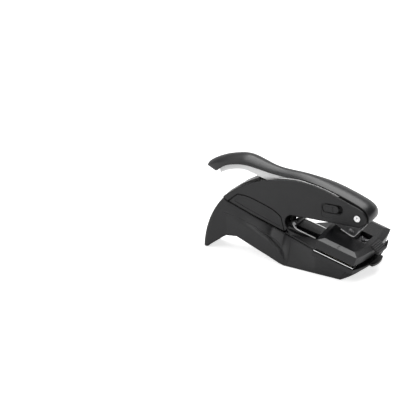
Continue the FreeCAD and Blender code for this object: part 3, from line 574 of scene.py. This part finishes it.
def makeWindowCatch():                         # two crossed spring wires held down by a stud
    c = windowCatch
    half = c["floorY"]
    plate = newPiece("catchPlate", inClip(boxRows(c["floorX"], (-half, half), c["floorZ"])))
    softenEdges(plate, c["edge"])
    finishPiece(plate, "darkSteel", "upper_jaw", ["clip_catch"])
    for (start, end), name in zip(c["wires"], ("A", "B")):
        along = Vector((end[0] - start[0], end[1] - start[1], 0)).normalized()
        across = Vector((-along.y, along.x, 0))
        rows = []
        for x, y in (start, end):
            ring = []
            for turn in turnsOf(c["steps"]):
                out = across * math.cos(turn) * c["wireRadius"]
                ring.append((x + out.x, y + out.y, c["wireZ"] + math.sin(turn) * c["wireRadius"]))
            rows.append(ring)
        wire = newPiece("catchWire" + name, inClip(rows))
        softenEdges(wire, c["edge"])
        finishPiece(wire, "plateSteel", "upper_jaw")
    x, y, radius, top = c["stud"]
    levels = [(c["floorZ"][0], 1.0)] + [(top - drop, share) for drop, share in c["crown"]]
    rows = [[(x + share * radius * math.cos(turn), y + share * radius * math.sin(turn), level)
             for turn in turnsOf(c["steps"])] for level, share in levels]
    stud = newPiece("catchStud", inClip(rows))
    finishPiece(stud, "darkSteel", "upper_jaw")
    stud.data.set_sharp_from_angle(angle=math.radians(50))


sidePlane = {"x": 126.9, "half": 10.6, "taper": 1.32}    # casing's side: half width at the pin, mm, degrees


def sidePoint(side, x, depth, z):              # a point at a depth under the casing's tapered side
    turn = math.radians(sidePlane["taper"])
    along, out = x - sidePlane["x"], -depth
    return (sidePlane["x"] + along * math.cos(turn) - out * math.sin(turn),
            side * (sidePlane["half"] + along * math.sin(turn) + out * math.cos(turn)), z)


def roundedRing(xs, zs, radius, steps=8):      # side-view outline of a plate with round corners
    ring = []
    for x, z, first in ((xs[1], zs[1], 0), (xs[0], zs[1], 90), (xs[0], zs[0], 180), (xs[1], zs[0], 270)):
        inX = x - radius if x == xs[1] else x + radius
        inZ = z - radius if z == zs[1] else z + radius
        for step in range(steps + 1):
            turn = math.radians(first + 90 * step / steps)
            ring.append((inX + radius * math.cos(turn), inZ + radius * math.sin(turn)))
    return ring


panelGroove = {                                # mm, side-view line of the dark groove round the side panel
    "line": [(17.4, 40.4), (21.2, 43.7), (25.0, 47.05), (31.0, 47.0), (37.0, 46.1), (45.7, 43.4),
             (54.4, 40.3), (60.2, 36.9), (62.8, 34.6)],
    "half": 1.3, "depth": 1.2, "thick": 0.2,
}


def makeGrooveShadeFloors():                        # a near-black floor under each groove, between casing and panel: painted shade in the groove
    g = panelGroove
    near, far = g["depth"], g["depth"] + g["thick"]
    corners = ((-1, near), (1, near), (1, far), (-1, far))
    for side, name in ((-1, "Right"), (1, "Left")):
        rows = []
        for i, (x, z) in enumerate(g["line"]):
            offX, offZ = offsetAt(g["line"], i, g["half"])
            rows.append([sidePoint(side, x + share * offX, depth, z + share * offZ)
                         for share, depth in corners])
        floor = newPiece("grooveShadeFloor" + name, rows)
        finishPiece(floor, "paintedShadeBlack", "frame")


lockKnob = {                                   # mm, on the casing's right side
    # plates behind and on it, and the window cut in its slot: x, z, corner radius, depths; slot plate and
    # shutter are near black, painted shade round the knob and through the window
    "slot": ((98.2, 114.6), (45.9, 53.1), 3.2, (0.85, 0.72)),
    "window": ((100.1, 113.9), (46.9, 52.3), 0.3, (2.0, 0.0)),
    "shutter": ((96.4, 114.3), (46.3, 52.9), 0.8, (1.9, 2.5)),
    "rib": ((105.5, 106.3), (47.6, 51.4), 0.3, (0.3, -0.75)),
    # the knob, its levels as depth and inset
    "x": (98.6, 111.5), "z": (46.5, 52.7), "radius": 2.7, "leastRadius": 0.3,
    "levels": [(0.7, 0.0), (-0.25, 0.0), (-0.45, 0.25), (-0.5, 0.7), (-0.3, 1.3), (-0.2, 2.0)],
    "edge": 0.12,
}


def onRightSide(ring, depths):                 # a side-view outline set at each depth under the right side
    return [[sidePoint(-1, x, depth, z) for x, z in ring] for depth in depths]


def plateRows(plate, steps):
    xs, zs, radius, depths = plate
    return onRightSide(roundedRing(xs, zs, radius, steps), depths)


def makeLockKnob():                            # a dished knob with one rib, a near-black plate round it and the shutter behind its slot; plate and shutter are painted shade
    k = lockKnob
    slot = newPiece("lockSlotShade", plateRows(k["slot"], steps=8))
    cutAway(slot, "cutSlot", plateRows(k["window"], steps=3))
    finishPiece(slot, "paintedShadeBlack", "frame")
    shutter = newPiece("lockShutter", plateRows(k["shutter"], steps=3))
    finishPiece(shutter, "paintedShadeBlack", "lock")
    rows = []
    for depth, inset in k["levels"]:
        xs = (k["x"][0] + inset, k["x"][1] - inset)
        zs = (k["z"][0] + inset, k["z"][1] - inset)
        rows += onRightSide(roundedRing(xs, zs, max(k["radius"] - inset, k["leastRadius"])), [depth])
    knob = newPiece("lockKnob", rows)
    softenEdges(knob, k["edge"], angle=25, segments=2)
    finishPiece(knob, "blackMoulding", "lock")
    rib = newPiece("lockRib", plateRows(k["rib"], steps=4))
    softenEdges(rib, k["edge"], angle=40, segments=2)
    finishPiece(rib, "blackMoulding", "lock")


throatShadeWeb = {                                  # mm, a web between the frame plates behind the clip, in near black as painted shade of the throat
    "centre": (72.0, 31.75), "radius": 6.4, "hinge": (73.5, 31.1), "clear": 3.1, "half": 2.0,
    "from": 84.0, "to": 200.0, "steps": 24,
}


# the web's near black is painted shade
def makeThroatShadeWeb():
    w = throatShadeWeb
    outer, inner = [], []
    for step in range(w["steps"] + 1):
        turn = math.radians(w["from"] + (w["to"] - w["from"]) * step / w["steps"])
        outer.append((w["centre"][0] + w["radius"] * math.cos(turn),
                      w["centre"][1] + w["radius"] * math.sin(turn)))
        inner.append((w["hinge"][0] + w["clear"] * math.cos(turn),
                      w["hinge"][1] + w["clear"] * math.sin(turn)))
    rows = [[(outX, -w["half"], outZ), (outX, w["half"], outZ), (inX, w["half"], inZ), (inX, -w["half"], inZ)]
            for (outX, outZ), (inX, inZ) in zip(outer, inner)]
    web = newPiece("throatShadeWeb", rows)
    finishPiece(web, "paintedShadeBlack", "frame")


seamShadeStrip = {                                    # mm, a near-black strip behind the seam of casing and base, painted shade in the gap: x, z, half width
    "line": [(64.0, 23.6, 6.6), (55.4, 26.4, 6.6), (38.0, 32.3, 6.5), (26.0, 36.7, 6.3), (17.5, 40.2, 6.1),
             (14.6, 41.4, 6.0)],
    "thick": 1.2, "rise": 1.5,
}


def makeSeamShadeStrip():                             # along the right side, round the rear and along the left; painted shade behind the seam
    outer = [(x, -half, z) for x, z, half in seamShadeStrip["line"]]
    outer += [(x, half, z) for x, z, half in reversed(seamShadeStrip["line"])]
    rows = []
    for x, y, z in outer:
        inX = x + seamShadeStrip["thick"] if x == seamShadeStrip["line"][-1][0] else x
        inY = y - math.copysign(seamShadeStrip["thick"], y)
        rows.append([(x, y, z + seamShadeStrip["rise"]), (x, y, z - seamShadeStrip["rise"]),
                     (inX, inY, z - seamShadeStrip["rise"]), (inX, inY, z + seamShadeStrip["rise"])])
    lip = newPiece("seamShadeStrip", rows)
    finishPiece(lip, "paintedShadeBlack", "frame")
    lip.data.shade_flat()


flankBead = {                                  # mm, side-view line of the fine bead on each flank of the base
    "line": [(13.5, 29.8), (21.3, 29.2), (32.2, 27.1), (42.0, 24.7), (49.3, 22.2), (57.4, 19.1), (62.9, 16.2),
             (66.0, 13.5), (67.9, 10.3), (69.4, 6.2), (70.3, 2.8)],
    "radius": 0.32, "sink": 0.08, "round": 8, "curveSteps": 5,
    "reach": 60,                               # how far out the search for the base's surface starts
}


def makeFlankBeads():                          # laid on the base, wherever its surface is
    b = flankBead
    base = nodes["base_shell"]
    inside = base.matrix_world.inverted()
    line = smoothCurve(b["line"], b["curveSteps"])
    for side, name in ((-1, "Right"), (1, "Left")):
        found = []
        for x, z in line:
            start, end = inside @ place(x, side * b["reach"], z), inside @ place(x, 0, z)
            hit, spot, normal = base.ray_cast(start, (end - start).normalized())[:3]
            if hit:
                found.append((base.matrix_world @ spot, (base.matrix_world.to_3x3() @ normal).normalized()))
        rows = []
        for i, (spot, normal) in enumerate(found):
            along = (found[min(i + 1, len(found) - 1)][0] - found[max(i - 1, 0)][0]).normalized()
            across = along.cross(normal).normalized()
            ring = []
            for turn in turnsOf(b["round"]):
                point = (spot - normal * b["sink"] * mm
                         + (across * math.cos(turn) + normal * math.sin(turn)) * b["radius"] * mm)
                ring.append(((point.x + middle) / mm, point.y / mm, point.z / mm))
            rows.append(ring)
        bead = newPiece("flankBead" + name, rows)
        finishPiece(bead, "blackMoulding", "frame")


makeHandleCover()
makeCoverShadeStrips()
makeLeverLips()
print("handle made")
makePressureLeaf()
makeRollerAxle()
print("presser made")
makeUpperJaw()
makeWindowCatch()
makeSpringArms()
print("clip made")
makeGrooveShadeFloors()
makeLockKnob()
makeThroatShadeWeb()
makeSeamShadeStrip()
makeFlankBeads()
print("groove floors, lock, web and beads made")


# floor, light and camera

studio = {                                     # metres, watts
    "floorTone": (0.72, 0.72, 0.72), "floorRough": 0.9, "floorLift": 0.75, "floorSheen": 0.18,
    "floorHalf": 6.0, "floorZ": -0.0001,
    # room brightness from the horizon to overhead, and its share from the middle to the right
    "roomLight": [(0.0, 0.24), (0.06, 0.42), (0.15, 1.05), (0.30, 0.62), (0.45, 0.34), (0.56, 0.32),
                  (0.68, 0.9), (0.80, 1.1), (0.90, 0.5), (1.0, 0.45)],
    "roomRight": [(0.0, 1.0), (0.18, 1.0), (0.5, 0.15), (1.0, 0.15)],
    "keyPower": 3.5, "keySize": 0.7, "keyPlace": (-0.55, -0.75, 0.75),
    "topPower": 12.0, "topSize": 1.0, "topPlace": (0.05, 0.42, 1.15), "lampAim": (0, 0, 0.03),
}


def mathNode(tree, operation, factor=None):
    node = tree.nodes.new("ShaderNodeMath")
    node.operation = operation
    if factor is not None:
        node.inputs[1].default_value = factor
    return node


def floorFinish():                             # lifted for the camera, and less in reflections
    material, tree, shader = newFinish("paleFloor")
    shader.inputs["Base Color"].default_value = (*studio["floorTone"], 1)
    shader.inputs["Roughness"].default_value = studio["floorRough"]
    shader.inputs["Specular IOR Level"].default_value = 0.0
    path = tree.nodes.new("ShaderNodeLightPath")
    glow = tree.nodes.new("ShaderNodeEmission")
    glow.inputs["Color"].default_value = (1, 1, 1, 1)
    scaled = mathNode(tree, "MULTIPLY", studio["floorLift"])
    mirrored = mathNode(tree, "MULTIPLY", studio["floorSheen"])
    seen = mathNode(tree, "MAXIMUM")
    added = tree.nodes.new("ShaderNodeAddShader")
    output = tree.nodes["Material Output"]
    tree.links.new(path.outputs["Is Camera Ray"], scaled.inputs[0])
    tree.links.new(path.outputs["Is Glossy Ray"], mirrored.inputs[0])
    tree.links.new(scaled.outputs[0], seen.inputs[0])
    tree.links.new(mirrored.outputs[0], seen.inputs[1])
    tree.links.new(seen.outputs[0], glow.inputs["Strength"])
    tree.links.new(shader.outputs["BSDF"], added.inputs[0])
    tree.links.new(glow.outputs["Emission"], added.inputs[1])
    tree.links.new(added.outputs["Shader"], output.inputs["Surface"])
    return material


def makeFloor():
    mesh = bpy.data.meshes.new("floor")
    bm = bmesh.new()
    bmesh.ops.create_grid(bm, x_segments=2, y_segments=2, size=studio["floorHalf"])
    bm.to_mesh(mesh)
    bm.free()
    floor = bpy.data.objects.new("floor", mesh)
    bpy.context.scene.collection.objects.link(floor)
    floor.location.z = studio["floorZ"]
    mesh.materials.append(floorFinish())


def makeLamp(name, power, size, spot):
    data = bpy.data.lights.new(name, "AREA")
    data.energy = power
    data.size = size
    lamp = bpy.data.objects.new(name, data)
    bpy.context.scene.collection.objects.link(lamp)
    lamp.location = spot
    towards = Vector(studio["lampAim"]) - Vector(spot)
    lamp.rotation_euler = towards.to_track_quat("-Z", "Y").to_euler()


def levelsAlong(tree, axis, levels, peak):     # a smooth curve of brightness along one axis of the room
    shaping = tree.nodes.new("ShaderNodeFloatCurve")
    curve = shaping.mapping.curves[0]
    curve.points[0].location = (0.0, levels[0][1] / peak)
    curve.points[1].location = (1.0, levels[-1][1] / peak)
    for along, level in levels[1:-1]:
        curve.points.new(along, level / peak)
    shaping.mapping.update()
    tree.links.new(axis, shaping.inputs["Value"])
    return shaping.outputs["Value"]


def makeWorld():                               # a soft room, dimmer at the horizon and towards the right
    world = bpy.data.worlds.new("softRoom")
    bpy.context.scene.world = world
    world.use_nodes = True
    tree = world.node_tree
    back = tree.nodes["Background"]
    back.inputs["Color"].default_value = (1, 1, 1, 1)
    coords = tree.nodes.new("ShaderNodeTexCoord")
    axes = tree.nodes.new("ShaderNodeSeparateXYZ")
    peak = max(level for height, level in studio["roomLight"])
    tree.links.new(coords.outputs["Generated"], axes.inputs["Vector"])
    byHeight = levelsAlong(tree, axes.outputs["Z"], studio["roomLight"], peak)
    toRight = levelsAlong(tree, axes.outputs["X"], studio["roomRight"], 1.0)
    room = mathNode(tree, "MULTIPLY")
    strength = mathNode(tree, "MULTIPLY", peak)
    path = tree.nodes.new("ShaderNodeLightPath")
    seen = tree.nodes.new("ShaderNodeMix")
    seen.inputs["B"].default_value = 1.0
    tree.links.new(byHeight, room.inputs[0])
    tree.links.new(toRight, room.inputs[1])
    tree.links.new(room.outputs[0], strength.inputs[0])
    tree.links.new(path.outputs["Is Camera Ray"], seen.inputs["Factor"])
    tree.links.new(strength.outputs[0], seen.inputs["A"])
    tree.links.new(seen.outputs["Result"], back.inputs["Strength"])


view = {                                       # degrees, mm; lookAt falls on the pixel seenAt
    "azimuth": 25.0, "elevation": 22.5, "lens": 1000.0, "sensor": 36.0, "pixels": 400.0,
    "pixelsPerMm": 1.3059, "lookAt": (71.2, 0.0, 33.0), "seenAt": (296.2, 217.2), "clip": (0.1, 40.0),
}


def makeCamera():
    data = bpy.data.cameras.new("camera")
    data.lens = view["lens"]
    data.sensor_width = view["sensor"]
    away = view["pixels"] * view["lens"] / view["sensor"] / view["pixelsPerMm"] * mm
    turn, rise = math.radians(view["azimuth"]), math.radians(view["elevation"])
    back = Vector((math.sin(turn) * math.cos(rise), -math.cos(turn) * math.cos(rise), math.sin(rise)))
    right = Vector((math.cos(turn), math.sin(turn), 0))
    up = back.cross(right)
    centre = place(*view["lookAt"])
    sideways = (view["seenAt"][0] - view["pixels"] / 2) / view["pixelsPerMm"] * mm
    upwards = (view["pixels"] / 2 - view["seenAt"][1]) / view["pixelsPerMm"] * mm
    aim = centre - right * sideways - up * upwards
    spot = aim + back * away
    camera = bpy.data.objects.new("camera", data)
    bpy.context.scene.collection.objects.link(camera)
    camera.location = spot
    camera.rotation_euler = (aim - spot).to_track_quat("-Z", "Y").to_euler()
    data.clip_start, data.clip_end = view["clip"]
    bpy.context.scene.camera = camera


makeFloor()
makeLamp("key", studio["keyPower"], studio["keySize"], studio["keyPlace"])
makeLamp("top", studio["topPower"], studio["topSize"], studio["topPlace"])
makeWorld()
makeCamera()
bpy.context.scene.view_settings.view_transform = "Standard"
print("floor, light and camera set")
